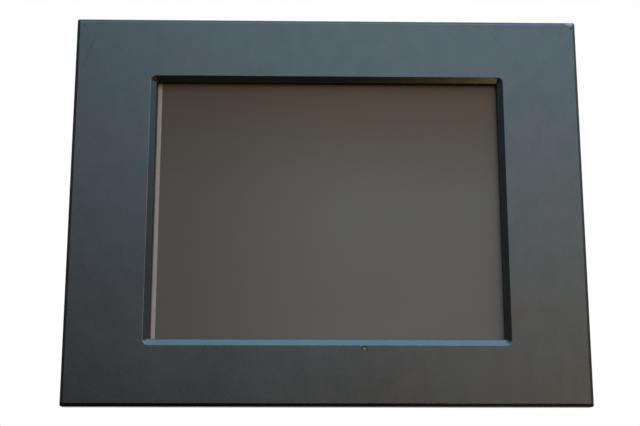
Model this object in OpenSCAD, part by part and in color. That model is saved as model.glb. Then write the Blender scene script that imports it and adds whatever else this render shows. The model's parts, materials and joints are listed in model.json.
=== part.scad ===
// Panel-mounted HMI touch screen: a machined aluminium front bezel with a recessed resistive touch
// screen, and a stepped rear case with the display, the electronics, the connectors, a card bay
// with an eject button behind a hinged door, and a block of slide switches.
// X runs to the right as the operator sees it, Y into the cabinet and Z up. The origin is the centre
// of the cabinet's cut-out, in the plane where the bezel flange seats on the cabinet door.

/* [Bezel] */
// Width of the front bezel
bezel_w = 317; // [314:1:322]
// Height of the front bezel
bezel_h = 243.5; // [240:0.5:248]
// Thickness of the bezel flange in front of the cabinet door
bezel_t = 9; // [8.5:0.5:10]
// Width of the chamfer around the front face
edge_chamfer_w = 2; // [1:0.1:2.5]
// Depth of the chamfer around the front face
edge_chamfer_d = 1.3; // [0.8:0.1:1.6]
// Radius of the bezel's outer corners
bezel_corner_r = 1.2; // [0.8:0.1:1.6]

/* [Screen opening] */
// Width of the opening on the front face
opening_w = 221.7; // [220:0.1:223]
// Height of the opening on the front face
opening_h = 169.5; // [169:0.5:171]
// Width of the sloping rim around the opening
rim_w = 3.6; // [2.5:0.1:3.8]
// Depth of the sloping rim around the opening
rim_d = 2.2; // [1.5:0.1:2.5]
// Width of the border strip that shows at the left of the screen
strip_w = 3.2; // [1:0.1:4]
// Radius of the status lamp's lens
led_r = 1.25; // [1:0.05:1.4]

/* [Rear case] */
// Width of the case, which passes through the cut-out
case_w = 300; // [299:0.5:301]
// Height of the case, which passes through the cut-out
case_h = 226; // [225:0.5:227]
// Depth behind the seat plane of the case's full-size front step
step_y = 24; // [23.5:0.5:24.5]
// Depth behind the seat plane of the case's rear face
back_y = 46.8; // [46.8:0.1:47.6]
// Wall thickness of the case
wall = 2.5; // [2.3:0.1:2.6]
// Length of each installation clamp's slot
clamp_slot_l = 22; // [18:1:26]

/* [Card bay and switches] */
// Travel of the eject button and of the memory card
eject_travel = 5.5; // [4:0.5:5.5]
// Number of slide switches, each with a node of its own
dip_count = 4; // [4:1:4]
// Travel of a slide switch's lever
dip_travel = 1.6; // [1.2:0.1:1.6]

/* [Hidden] */
$fn = 48;
EPS = 0.01;

// Front face and screen stack: the depths of the layers' faces, front to back
front_y = -bezel_t;
open_x = 0;
open_z = -0.6;
window_w = opening_w - 2 * rim_w;
window_h = opening_h - 2 * rim_w;
border_y = -3.1;
film_y = -2.95;
glass_y = -2.75;
seal_y = -0.95;
lcd_y = 1.4;
cell_y = 2.2;
guide_y = 4.6;
lcd_plate_y = 9.7;
lcd_end_y = 11;
glass_w = 222.6;
glass_h = 170.6;
lcd_w = 243;
lcd_h = 184;
lcd_view_w = 213;
lcd_view_h = 160.4;
cell_w = 222;
cell_h = 170;
led_x = 22;
led_z = -87.6;

// Bezel's rear side
front_wall = 4;
pocket_y = front_y + front_wall;
frame_w = 238;
frame_h = 184;
skirt_y = 9;
skirt_w = case_w - 2 * wall - 0.6;
skirt_h = case_h - 2 * wall - 0.6;
skirt_t = 4;
gasket_w = 312;
gasket_h = 238;
gasket_t = 4.5;
groove_d = 2;
gasket_proud = 0.8;

// Case
case_y = 0.8;
case_r = 3;
step_w = 290;
step_top = 107;
step_bottom = -75;
step_z = (step_top + step_bottom) / 2;
back_chamfer = 3;
inner_back_y = back_y - wall;
clamp_x = 95;
clamp_y = 16;
clamp_slot_w = 5.2;
side_screw_y = 5;
vent_w = 3.2;

// Chassis plate and main board
chassis_y = 13.4;
chassis_t = 1.2;
chassis_back = chassis_y + chassis_t;
chassis_w = 280;
chassis_h = 205;
boss_x = 136;
boss_z = 98;
bracket_boss_x = 130;
bracket_boss_z = 60;
board_y = 24.4;
board_t = 1.6;
board_back = board_y + board_t;
board_w = 268;
board_low = -70;
board_high = 98;
BOARD_HOLES = [[-128, -62], [128, -62], [-128, 90], [128, 90], [0, 90]];

// Connector ledge: plate under the step, and the ports along it
plate_t = 1.2;
plate_w = 262;
plate_y0 = 24.6;
plate_y1 = 43.4;
plate_low = step_bottom - plate_t;
ledge_gap_w = 248;
port_y = 32.8;
earth_x = -119;
power_x = -103;
serial_9_x = -70;
serial_25_x = -18;
ethernet_x = 24;
USB_X = [45, 63];
dip_x = 84;
dip_pitch = 2.54;

// Card bay in the case's right side wall
card_l = 36.4;
card_w = 42.8;
card_t = 3.3;
card_end_x = 136;
card_y0 = 28.2;
card_z0 = -2;
button_z = 48;
bay_y0 = 27;
bay_y1 = 38.8;
bay_z0 = -6;
bay_z1 = 56;
hinge_x = 147.4;
hinge_y = 41.6;
hinge_r = 2;
pin_r = 0.8;
door_z0 = -9.7;
door_z1 = 59.7;
lug_t = 4;
lug_gap = 0.3;

// ---------- drawing helpers ----------

// Rounded rectangle about the origin
module rrect(w, h, r) {
    square([w - 2 * r, h], center = true);
    square([w, h - 2 * r], center = true);
    for (x = [-1, 1], y = [-1, 1])
        translate([x * (w / 2 - r), y * (h / 2 - r)]) circle(r);
}

// Slot with round ends, its length along the drawing's first axis
module slot(length, width) {
    square([length - width, width], center = true);
    for (x = [-1, 1]) translate([x * (length - width) / 2, 0]) circle(width / 2);
}

// Extrude a drawing of the XZ plane along Y, one of the YZ plane along X, one of the XY plane along Z
module along_y(y0, y1) translate([0, y1, 0]) rotate([90, 0, 0]) linear_extrude(y1 - y0) children();
module along_x(x0, x1) translate([x0, 0, 0]) rotate([90, 0, 90]) linear_extrude(x1 - x0) children();
module along_z(z0, z1) translate([0, 0, z0]) linear_extrude(z1 - z0) children();

// Box from one corner to the opposite one
module block(a, b) translate(a) cube(b - a);

// Rounded plate across Y, centred on [x, z]
module slab(w, h, r, y0, y1, x = 0, z = 0) translate([x, 0, z]) along_y(y0, y1) rrect(w, h, r);

// Rectangular frame across Y
module ring(w, h, r, t, y0, y1, x = 0, z = 0) {
    difference() {
        slab(w, h, r, y0, y1, x, z);
        slab(w - 2 * t, h - 2 * t, max(r - t, 0.4), y0 - 1, y1 + 1, x, z);
    }
}

// Places a child whose +Z is its head end so that the head faces the named way at p
module facing(way, p) translate(p)
    rotate(way == "back" ? [-90, 0, 0] : way == "down" ? [180, 0, 0]
        : way == "right" ? [0, 90, 0] : way == "left" ? [0, -90, 0] : [0, 0, 0])
    children();

// Cross recess of a screw head whose top is at height h
module cross_recess(h, size, depth) {
    for (a = [0, 90]) rotate(a)
        translate([-size / 2, -size / 8, h - depth]) cube([size, size / 4, depth + 1]);
}

// Pan-head screw: its head stands on the plane z = 0, its shank goes down
module pan_screw(d, length, head_d, head_h) {
    difference() {
        union() {
            cylinder(h = head_h * 0.65, r = head_d / 2);
            translate([0, 0, head_h * 0.65])
                cylinder(h = head_h * 0.35, r1 = head_d / 2, r2 = head_d / 2 - head_h * 0.35);
            translate([0, 0, -length]) cylinder(h = length + EPS, r = d / 2);
        }
        cross_recess(head_h, head_d * 0.6, head_h * 0.7);
    }
}

// Countersunk screw: its head is flush with the plane z = 0
module flat_screw(d, length, head_d) {
    sink = (head_d - d) / 2;
    difference() {
        union() {
            translate([0, 0, -sink]) cylinder(h = sink, r1 = d / 2, r2 = head_d / 2);
            translate([0, 0, -length]) cylinder(h = length - sink + EPS, r = d / 2);
        }
        cross_recess(0, head_d * 0.6, sink * 0.9);
    }
}

// Insulated wire along a list of points
module wire(points, r) {
    for (i = [0 : len(points) - 2]) {
        v = points[i + 1] - points[i];
        translate(points[i])
            rotate([0, acos(v[2] / norm(v)), atan2(v[1], v[0])]) cylinder(h = norm(v), r = r, $fn = 16);
    }
    for (i = [1 : len(points) - 2]) translate(points[i]) sphere(r, $fn = 16);
}

// Flat cable of the YZ plane: a strip of the given thickness along a list of [y, z] corners
module flat_cable(points, thick, x0, x1) {
    h = thick / 2;
    for (i = [0 : len(points) - 2]) {
        a = points[i];
        b = points[i + 1];
        block([x0, min(a[0], b[0]) - h, min(a[1], b[1]) - h],
            [x1, max(a[0], b[0]) + h, max(a[1], b[1]) + h]);
    }
}

// ---------- front bezel and screen stack ----------

// Flange outline with its front edges chamfered
module flange() {
    hw = bezel_w / 2;
    hh = bezel_h / 2;
    cw = edge_chamfer_w;
    cy = front_y + edge_chamfer_d;
    intersection() {
        slab(bezel_w, bezel_h, bezel_corner_r, front_y, 0);
        linear_extrude(bezel_h, center = true)
            polygon([[-hw, 0], [-hw, cy], [-hw + cw, front_y], [hw - cw, front_y], [hw, cy], [hw, 0]]);
        rotate([90, 0, 90]) linear_extrude(bezel_w, center = true)
            polygon([[0, -hh], [cy, -hh], [front_y, -hh + cw], [front_y, hh - cw], [cy, hh], [0, hh]]);
    }
}

// Ring-shaped pocket in the back of the flange, crossed by stiffening ribs
module back_pocket() {
    rib = 3;
    difference() {
        slab(skirt_w - 2 * skirt_t, skirt_h - 2 * skirt_t, 2, pocket_y, EPS);
        slab(frame_w, frame_h, 2, pocket_y - 1, 1, open_x, open_z);
        for (x = [-90, -45, 45, 90]) block([x - rib / 2, pocket_y - 1, -120], [x + rib / 2, 1, 120]);
        for (z = [-30, 30]) block([-150, pocket_y - 1, z - rib / 2], [150, 1, z + rib / 2]);
    }
}

module bezel_bosses() {
    for (x = [-1, 1], z = [-1, 1]) {
        translate([x * boss_x, pocket_y - 1, z * boss_z]) rotate([-90, 0, 0])
            cylinder(h = chassis_y - pocket_y + 1, r = 4.5);
        translate([x * bracket_boss_x, pocket_y - 1, z * bracket_boss_z]) rotate([-90, 0, 0])
            cylinder(h = 4 - pocket_y + 1, r = 4);
    }
}

// Tapped holes in the bosses
module boss_holes(r) {
    for (x = [-1, 1], z = [-1, 1]) {
        translate([x * boss_x, chassis_y - 9, z * boss_z]) rotate([-90, 0, 0]) cylinder(h = 10, r = r);
        translate([x * bracket_boss_x, -3, z * bracket_boss_z]) rotate([-90, 0, 0]) cylinder(h = 8, r = r);
    }
}

// The side screws that hold the case on the bezel's skirt: way and place of each
SIDE_SCREWS = concat(
    [for (z = [-75, 0, 75]) ["left", [-case_w / 2, side_screw_y, z]]],
    [for (z = [-75, 0, 75]) ["right", [case_w / 2, side_screw_y, z]]],
    [for (x = [-120, 0, 120]) ["up", [x, side_screw_y, case_h / 2]]],
    [for (x = [-120, 0, 120]) ["down", [x, side_screw_y, -case_h / 2]]]
);

module front_bezel() color("darkslategray") difference() {
    union() {
        difference() {
            flange();
            back_pocket();
        }
        ring(skirt_w, skirt_h, 2.5, skirt_t, -EPS, skirt_y);
        bezel_bosses();
    }
    hull() {
        slab(opening_w, opening_h, 3.4, front_y - EPS, front_y, open_x, open_z);
        slab(window_w, window_h, 0.4, front_y + rim_d - EPS, front_y + rim_d, open_x, open_z);
    }
    slab(window_w, window_h, 0.4, front_y - 1, 1, open_x, open_z);
    slab(glass_w + 0.6, glass_h + 0.6, 0.6, border_y, 1, open_x, open_z);
    ring(gasket_w, gasket_h, 3, gasket_t, -groove_d, 1);
    translate([led_x, front_y - 1, led_z]) rotate([-90, 0, 0]) cylinder(h = 7, r = led_r + 0.05);
    translate([led_x, front_y - EPS, led_z]) rotate([-90, 0, 0])
        cylinder(h = 0.4, r1 = led_r + 0.5, r2 = led_r + 0.05);
    block([led_x - 7, pocket_y, led_z - 12], [led_x + 7, 1, led_z + led_r + 0.35]);
    boss_holes(1.3);
    for (s = SIDE_SCREWS) facing(s[0], s[1]) translate([0, 0, -9]) cylinder(h = 9, r = 1.5);
}

module panel_gasket() color("dimgray") {
    ring(gasket_w - 0.3, gasket_h - 0.3, 3, gasket_t - 0.3, -groove_d, gasket_proud);
}

module status_led_lens() color("olivedrab") translate([led_x, 0, led_z]) rotate([-90, 0, 0]) {
    translate([0, 0, front_y]) cylinder(h = front_wall + EPS, r = led_r);
    translate([0, 0, pocket_y]) cylinder(h = 0.6, r = led_r + 0.3);
}

module status_led_board() color("seagreen") {
    y0 = pocket_y + 2.4;
    difference() {
        block([led_x - 6.5, y0, led_z - 11], [led_x + 6.5, y0 + 1, led_z + 1]);
        translate([led_x, y0 - 1, led_z - 8.5]) rotate([-90, 0, 0]) cylinder(h = 3, r = 1.1);
    }
    block([led_x - 1.2, pocket_y + 0.8, led_z - 0.9], [led_x + 1.2, y0, led_z + 0.9]);
    block([led_x - 5.5, y0 - 1.6, led_z - 6], [led_x - 1.5, y0, led_z - 3]);
}

module touch_border() color("tan") {
    // Its window sits to the right of the bezel's, so that only the left strip shows
    shift = strip_w + 1;
    difference() {
        slab(glass_w, glass_h, 0.6, border_y, film_y, open_x, open_z);
        slab(window_w + 2, window_h + 2, 0.4, border_y - 1, 1, open_x + shift, open_z);
    }
}

module touch_film() color("#3a332d") slab(glass_w, glass_h, 0.6, film_y, glass_y, open_x, open_z);

module touch_glass() color("lightblue") slab(glass_w, glass_h, 0.6, glass_y, seal_y, open_x, open_z);

module touch_seal() color("black") difference() {
    ring(glass_w - 0.4, glass_h - 0.4, 0.6, 4, seal_y, lcd_y, open_x, open_z);
    block([64, seal_y - 1, -90], [80, lcd_y + 1, -78]);
}

module touch_tail() color("peru") {
    first = seal_y + 0.17;
    flat_cable([[first, -79], [first, -83], [1.08, -83], [1.08, -98], [17.5, -98], [17.5, -66], [19.8, -66]],
        0.3, 66, 78);
    block([65, 19.8, -68], [79, board_y, -63]);
}

module lcd_front_frame() color("silver") difference() {
    slab(lcd_w, lcd_h, 1, lcd_y, 9, open_x, open_z);
    slab(lcd_w - 1.2, lcd_h - 1.2, 0.6, cell_y, 10, open_x, open_z);
    slab(lcd_view_w, lcd_view_h, 0.4, 0, 10, open_x, open_z);
}

module lcd_cell() color("#201d1b") slab(cell_w, cell_h, 0.5, cell_y, guide_y - 0.2, open_x, open_z);

module light_guide() color("whitesmoke") {
    block([open_x - 110, guide_y, open_z - 82], [open_x + 110, lcd_plate_y - 0.1, open_z + 82]);
}

module backlight_lamps() color("ivory") for (z = [-1, 1])
    translate([open_x - 112, 7.1, open_z + z * 85.5]) rotate([0, 90, 0]) cylinder(h = 224, r = 1.3);

module lcd_back_plate() color("lightgray") difference() {
    slab(lcd_w - 1.6, lcd_h - 1.6, 0.6, lcd_plate_y, lcd_end_y, open_x, open_z);
    slab(40, 20, 2, 9, 12, -60, 60);
    block([104, 9, -84], [110, 12, -78]);
}

module lcd_brackets() color("gainsboro") for (s = [-1, 1]) {
    inner = lcd_w / 2 + 0.2;
    difference() {
        union() {
            block([open_x + s * inner - (s < 0 ? 1 : 0), 2.4, -74],
                [open_x + s * inner + (s > 0 ? 1 : 0), lcd_end_y, 74]);
            for (z = [-1, 1]) slab(14, 16, 1.5, 4, 5, s * (bracket_boss_x - 1), z * bracket_boss_z);
        }
        for (z = [-1, 1]) translate([s * bracket_boss_x, 3, z * bracket_boss_z]) rotate([-90, 0, 0])
            cylinder(h = 3, r = 1.65);
    }
}

module lcd_screws() color("silver") for (x = [-1, 1], z = [-1, 1])
    facing("back", [x * bracket_boss_x, 5, z * bracket_boss_z]) pan_screw(2.5, 7, 5.5, 1.9);

module lcd_ribbon_cable() color("khaki") {
    block([-72, lcd_end_y - 1.2, 57], [-48, 12.2, 62]);
    flat_cable([[12.4, 60], [12.4, 64], [20, 64], [20, 50], [22.2, 50]], 0.4, -70, -50);
    block([-72, 22.2, 47], [-48, board_y, 53]);
}

// ---------- chassis plate and main board ----------

module chassis_plate() color("silver") difference() {
    slab(chassis_w, chassis_h, 3, chassis_y, chassis_back);
    for (x = [-1, 1], z = [-1, 1]) translate([x * boss_x, chassis_y - 1, z * boss_z])
        rotate([-90, 0, 0]) cylinder(h = 4, r = 1.65);
    block([-76, chassis_y - 1, 44], [-44, chassis_back + 1, 68]);
    block([62, chassis_y - 1, -104], [82, chassis_back + 1, -92]);
    for (x = [20, 60, 100]) slab(24, 60, 3, chassis_y - 1, chassis_back + 1, x, 20);
}

module chassis_screws() color("silver") for (x = [-1, 1], z = [-1, 1])
    facing("back", [x * boss_x, chassis_back, z * boss_z]) pan_screw(2.5, 8, 5.5, 2);

module inverter_board() color("seagreen") {
    slab(120, 19, 1, 16, 17.2, -2, -91);
    for (x = [-54, 50]) translate([x, chassis_back, -91]) rotate([-90, 0, 0]) cylinder(h = 1.4, r = 2.5);
    block([46, 17.2, -99], [56, 20.6, -93]);
    block([-58, 17.2, -97], [-50, 20.6, -85]);
    for (x = [20, 28]) block([x, 17.2, -96], [x + 5, 20, -88]);
}

module inverter_transformer() color("goldenrod") {
    block([-12, 17.2, -97], [12, 18.4, -85]);
    block([-8, 18.4, -96], [8, 21, -86]);
}

module lamp_leads() color("deeppink") for (i = [0, 1]) {
    gap_y = 12.2;
    plug_y = 18.6;
    x = 106 + 2.4 * i;
    end_x = 53 - 3 * i;
    z = -104.6 - 1.8 * i;
    wire([[x, 9.9, -81], [x, gap_y, -81], [x, gap_y, z], [x, plug_y, z], [end_x, plug_y, z],
        [end_x, plug_y, -99]], 0.6);
}

module main_board() color("darkgreen") difference() {
    block([-board_w / 2, board_y, board_low], [board_w / 2, board_back, board_high]);
    for (p = BOARD_HOLES) translate([p[0], board_y - 1, p[1]]) rotate([-90, 0, 0])
        cylinder(h = 4, r = 1.6);
}

module board_standoffs() color("goldenrod") for (p = BOARD_HOLES) difference() {
    translate([p[0], chassis_back, p[1]]) rotate([-90, 0, 0])
        cylinder(h = board_y - chassis_back, r = 3.2, $fn = 6);
    translate([p[0], chassis_back + 1, p[1]]) rotate([-90, 0, 0])
        cylinder(h = board_y - chassis_back, r = 1.3);
}

module board_screws() color("silver") for (p = BOARD_HOLES)
    facing("back", [p[0], board_back, p[1]]) pan_screw(2.5, 8, 5.5, 2);

// Packaged chip on the board: centre, size across and height
module chip(x, z, w, h, t) block([x - w / 2, board_back, z - h / 2], [x + w / 2, board_back + t, z + h / 2]);

module board_components() color("#222222") {
    chip(0, 34, 27, 27, 2.4);
    chip(40, 40, 22, 10, 2);
    chip(40, 22, 22, 10, 2);
    chip(-20, -12, 20, 20, 2);
    chip(22, -14, 14, 10, 1.8);
    chip(-100, -42, 12, 14, 6);
    chip(-78, -44, 14, 14, 7);
    chip(-20, -48, 18, 8, 2);
    chip(24, -44, 16, 12, 5);
    chip(84, -40, 10, 8, 1.8);
    chip(56, -20, 10, 10, 1.6);
    chip(-124, 20, 8, 40, 8);
    chip(90, 84, 30, 7, 8);
}

module capacitors() color("midnightblue") {
    for (p = [[-112, -18], [-100, -18], [-88, -18], [-46, -30], [-46, -42], [104, 66], [114, 66]])
        translate([p[0], board_back, p[1]]) rotate([-90, 0, 0]) {
            cylinder(h = 0.8, r = 4.4);
            translate([0, 0, 0.8]) cylinder(h = 9.5, r = 4);
        }
}

module heat_sink() color("gray") {
    y0 = board_back + 2.4;
    block([-20, y0, 14], [20, y0 + 2.5, 54]);
    for (i = [0 : 9]) block([-20 + i * 4.2, y0 + 2.5 - EPS, 14], [-18 + i * 4.2, y0 + 13, 54]);
}

module buzzer() color("black") translate([70, board_back, 74]) rotate([-90, 0, 0]) difference() {
    cylinder(h = 8, r = 6);
    translate([0, 0, 5]) cylinder(h = 4, r = 1.2);
}

module coin_cell_holder() color("ivory") translate([-64, board_back, 38]) rotate([-90, 0, 0]) {
    difference() {
        cylinder(h = 4.6, r = 12.2);
        translate([0, 0, 1.2]) cylinder(h = 5, r = 10.2);
        translate([-5, -14, 1.2]) cube([10, 8, 5]);
    }
}

module coin_cell() color("silver") translate([-64, board_back + 1.2, 38]) rotate([-90, 0, 0]) {
    cylinder(h = 2.4, r = 10);
    translate([0, 0, 2.4]) cylinder(h = 0.8, r = 8.8);
}

module expansion_connector() color("black") difference() {
    block([-106, board_back, 2], [-50, board_back + 8, 9.4]);
    for (i = [0 : 19], z = [4.1, 6.5])
        block([-103.6 + i * 2.6, board_back + 3, z - 0.4], [-102.8 + i * 2.6, board_back + 9, z + 0.4]);
}

// ---------- rear case ----------

// Rear step of the case, with its back edges chamfered
module rear_step(grow) {
    hw = step_w / 2 + grow;
    low = step_bottom - grow;
    high = step_top + grow;
    end = back_y + grow;
    c = back_chamfer;
    intersection() {
        slab(2 * hw, high - low, 3, 18, end, 0, step_z);
        along_z(low, high)
            polygon([[-hw, 0], [hw, 0], [hw, end - c], [hw - c, end], [c - hw, end], [-hw, end - c]]);
        along_x(-hw, hw)
            polygon([[0, low], [end - c, low], [end, low + c], [end, high - c], [end - c, high], [0, high]]);
    }
}

// Vents: tall slots in the rear wall, short ones in the top wall and in the connector plate
module case_vents() {
    for (i = [0 : 14]) translate([8 + i * 8, 0, -24]) along_y(inner_back_y - 1, back_y + 1)
        rotate(90) slot(56, vent_w);
    for (i = [-12 : 12]) block([i * 10 - vent_w / 2, 28, step_top - wall - 1],
        [i * 10 + vent_w / 2, 41, step_top + 1]);
}

module clamp_slots() {
    for (x = [-1, 1], z = [-1, 1]) translate([x * clamp_x, clamp_y, z * (case_h / 2 - wall / 2)])
        linear_extrude(wall + 2, center = true) square([clamp_slot_l, clamp_slot_w], center = true);
}

EXPANSION_SCREWS = [for (x = [-118, -38], z = [-4, 60]) [x, z]];

module hinge_lug(z0) {
    difference() {
        union() {
            block([step_w / 2 - 0.5, hinge_y - hinge_r, z0], [hinge_x, hinge_y + hinge_r, z0 + lug_t]);
            translate([hinge_x, hinge_y, z0]) cylinder(h = lug_t, r = hinge_r);
        }
        translate([hinge_x, hinge_y, z0 - 1]) cylinder(h = lug_t + 2, r = pin_r + 0.02);
    }
}

module rear_case() color("silver") difference() {
    union() {
        slab(case_w, case_h, case_r, case_y, step_y);
        rear_step(0);
        hinge_lug(door_z0 - lug_gap - lug_t);
        hinge_lug(door_z1 + lug_gap);
    }
    slab(case_w - 2 * wall, case_h - 2 * wall, 1, 0, step_y - wall);
    block([-step_w / 2 + wall, step_y - wall - 1, step_bottom + wall],
        [step_w / 2 - wall, inner_back_y, step_top - wall]);
    clamp_slots();
    case_vents();
    block([-ledge_gap_w / 2, 26, step_bottom - 1], [ledge_gap_w / 2, 42, step_bottom + wall + 1]);
    block([step_w / 2 - wall - 1, bay_y0, bay_z0], [step_w / 2 + 1, bay_y1, bay_z1]);
    slab(72, 56, 2, inner_back_y - 1, back_y + 1, -78, 28);
    for (s = SIDE_SCREWS) facing(s[0], s[1]) {
        translate([0, 0, -wall - 1]) cylinder(h = wall + 1, r = 1.6);
        translate([0, 0, -1.45]) cylinder(h = 1.46, r1 = 1.55, r2 = 3.01);
    }
    for (p = EXPANSION_SCREWS) translate([p[0], inner_back_y - 1, p[1]]) rotate([-90, 0, 0])
        cylinder(h = wall + 2, r = 1.3);
    for (x = [-1, 1], y = [28.5, 39.5]) translate([x * 127.6, y, step_bottom - 1])
        cylinder(h = wall + 2, r = 1.3);
}

module case_screws() color("silver") for (s = SIDE_SCREWS) facing(s[0], s[1]) flat_screw(2.8, 7.5, 5.6);

module expansion_cover() color("gainsboro") difference() {
    slab(92, 76, 2, back_y, back_y + 1, -78, 28);
    for (p = EXPANSION_SCREWS) translate([p[0], back_y - 1, p[1]]) rotate([-90, 0, 0])
        cylinder(h = 3, r = 1.65);
}

module expansion_screws() color("silver") for (p = EXPANSION_SCREWS)
    facing("back", [p[0], back_y + 1, p[1]]) pan_screw(2.5, 5, 5, 1.2);

module rating_label() color("white") slab(78, 40, 2, back_y, back_y + 0.2, 68, 62);

// ---------- connector ledge ----------

// Outline of a D-shaped connector shell, its wide side towards the case's rear
module d_outline(w, h) {
    lean = h * 0.18;
    c = 1.6;
    polygon([[-w / 2 + c, h / 2], [-w / 2, h / 2 - c], [-w / 2 + lean - 0.3, -h / 2 + c],
        [-w / 2 + lean + c, -h / 2], [w / 2 - lean - c, -h / 2], [w / 2 - lean + 0.3, -h / 2 + c],
        [w / 2, h / 2 - c], [w / 2 - c, h / 2]]);
}

module d_shape(x, w, h, z0, z1) translate([x, port_y, 0]) along_z(z0, z1) d_outline(w, h);

// Each D-shaped port: its centre, shell width, flange width and distance between its posts
SERIAL_PORTS = [[serial_9_x, 16.9, 30.8, 24.99], [serial_25_x, 38.96, 53, 47.04]];
SHELL_H = 8.3;
shell_low = plate_low - 5.4;

module connector_plate() color("lightgray") difference() {
    block([-plate_w / 2, plate_y0, plate_low], [plate_w / 2, plate_y1, step_bottom]);
    for (s = SERIAL_PORTS) {
        d_shape(s[0], s[1] + 0.4, SHELL_H + 0.4, plate_low - 1, step_bottom + 1);
        for (x = [-1, 1]) translate([s[0] + x * s[3] / 2, port_y, plate_low - 1]) cylinder(h = 4, r = 1.6);
    }
    block([power_x - 8.2, 26.8, plate_low - 1], [power_x + 8.2, 38.8, step_bottom + 1]);
    block([ethernet_x - 8.2, 26, plate_low - 1], [ethernet_x + 8.2, 39.9, step_bottom + 1]);
    for (x = USB_X) block([x - 6.8, 26.6, plate_low - 1], [x + 6.8, 33.2, step_bottom + 1]);
    block([dip_x - 5.9, 28, plate_low - 1], [dip_x + 5.9, 37.2, step_bottom + 1]);
    for (x = [-1, 1], y = [28.5, 39.5]) translate([x * 127.6, y, plate_low - 1]) cylinder(h = 4, r = 1.65);
    translate([earth_x, port_y, plate_low - 1]) cylinder(h = 4, r = 2.1);
    for (i = [0 : 4]) block([98 + i * 5, 28, plate_low - 1], [100.4 + i * 5, 40, step_bottom + 1]);
}

module plate_screws() color("silver") for (x = [-1, 1], y = [28.5, 39.5])
    facing("down", [x * 127.6, y, plate_low]) pan_screw(2.5, 4.5, 5, 1.8);

POLES = [-1, 0, 1];
pole_pitch = 5.08;

module power_terminal() color("forestgreen") difference() {
    block([power_x - 8, 27, plate_low - 10], [power_x + 8, 38.6, -66]);
    for (i = POLES) {
        x = power_x + i * pole_pitch;
        block([x - 1.8, 28.6, plate_low - 11], [x + 1.8, 32.4, plate_low - 2]);
        translate([x, 34, plate_low - 6]) rotate([-90, 0, 0]) cylinder(h = 6, r = 1.9);
    }
}

module terminal_screws() color("silver") for (i = POLES)
    translate([power_x + i * pole_pitch, 34, plate_low - 6]) rotate([-90, 0, 0]) difference() {
        cylinder(h = 3, r = 1.8);
        translate([-2, -0.3, 2.1]) cube([4, 0.6, 2]);
    }

// Metal flange and shell of a D-shaped port
module serial_shell(s) difference() {
    union() {
        translate([s[0], port_y, 0]) along_z(step_bottom, step_bottom + 0.8) rrect(s[2], 12.4, 1);
        d_shape(s[0], s[1], SHELL_H, shell_low, step_bottom + 0.4);
    }
    d_shape(s[0], s[1] - 0.8, SHELL_H - 0.8, shell_low - 1, step_bottom + 2);
    for (x = [-1, 1]) translate([s[0] + x * s[3] / 2, port_y, step_bottom - 1]) cylinder(h = 4, r = 1.6);
}

module serial_port_9() color("silver") serial_shell(SERIAL_PORTS[0]);

module serial_port_25() color("silver") serial_shell(SERIAL_PORTS[1]);

// Contact holes of a D-shaped port, in two rows
module contact_holes(s, count) {
    pitch = 2.76;
    for (i = [0 : count - 1]) {
        row = i < ceil(count / 2) ? 0 : 1;
        k = row == 0 ? i - (ceil(count / 2) - 1) / 2 : i - ceil(count / 2) - (floor(count / 2) - 1) / 2;
        translate([s[0] + k * pitch, port_y + (row == 0 ? 1.42 : -1.42), shell_low - 1])
            cylinder(h = 6, r = 0.55, $fn = 8);
    }
}

module port_inserts() color("black") {
    for (i = [0, 1]) {
        s = SERIAL_PORTS[i];
        difference() {
            union() {
                d_shape(s[0], s[1] - 0.9, SHELL_H - 0.9, shell_low + 0.3, step_bottom + 1);
                block([s[0] - s[1] / 2 - 2, board_back, step_bottom + 0.9],
                    [s[0] + s[1] / 2 + 2, port_y + 5.5, -63]);
            }
            contact_holes(s, i == 0 ? 9 : 25);
        }
    }
    for (x = USB_X) block([x - 5.4, 30.2, plate_low - 0.2], [x + 5.4, 31.8, -66]);
}

module port_posts() color("silver") for (s = SERIAL_PORTS, x = [-1, 1])
    translate([s[0] + x * s[3] / 2, port_y, 0]) difference() {
        union() {
            translate([0, 0, plate_low - 5]) cylinder(h = 5, r = 2.75, $fn = 6);
            translate([0, 0, plate_low - EPS]) cylinder(h = 5, r = 1.5);
        }
        translate([0, 0, plate_low - 6]) cylinder(h = 7.5, r = 1.1);
    }

module ethernet_jack() color("silver") difference() {
    block([ethernet_x - 8, board_back, plate_low - 1], [ethernet_x + 8, 39.6, -56]);
    block([ethernet_x - 5.9, 28, plate_low - 2], [ethernet_x + 5.9, 36, -64]);
    block([ethernet_x - 3, 35.9, plate_low - 2], [ethernet_x + 3, 38, -68]);
}

module usb_ports() color("silver") for (x = USB_X) difference() {
    block([x - 6.6, 26.8, plate_low - 1], [x + 6.6, 33, -61]);
    block([x - 6.2, 27.2, plate_low - 2], [x + 6.2, 32.6, -66]);
}

module earth_screw() color("goldenrod") translate([earth_x, port_y, plate_low]) rotate([180, 0, 0]) {
    difference() {
        union() {
            cylinder(h = 0.8, r = 4.5);
            translate([0, 0, 0.8 - EPS]) cylinder(h = 3, r = 4, $fn = 6);
            translate([0, 0, -6]) cylinder(h = 6.1, r = 2);
        }
        translate([-4.5, -0.5, 2.8]) cube([9, 1, 2]);
    }
    translate([0, 0, -plate_t - 3]) difference() {
        cylinder(h = 2.4, r = 4, $fn = 6);
        translate([0, 0, -1]) cylinder(h = 5, r = 2.05);
    }
}

// ---------- card bay ----------

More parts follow.
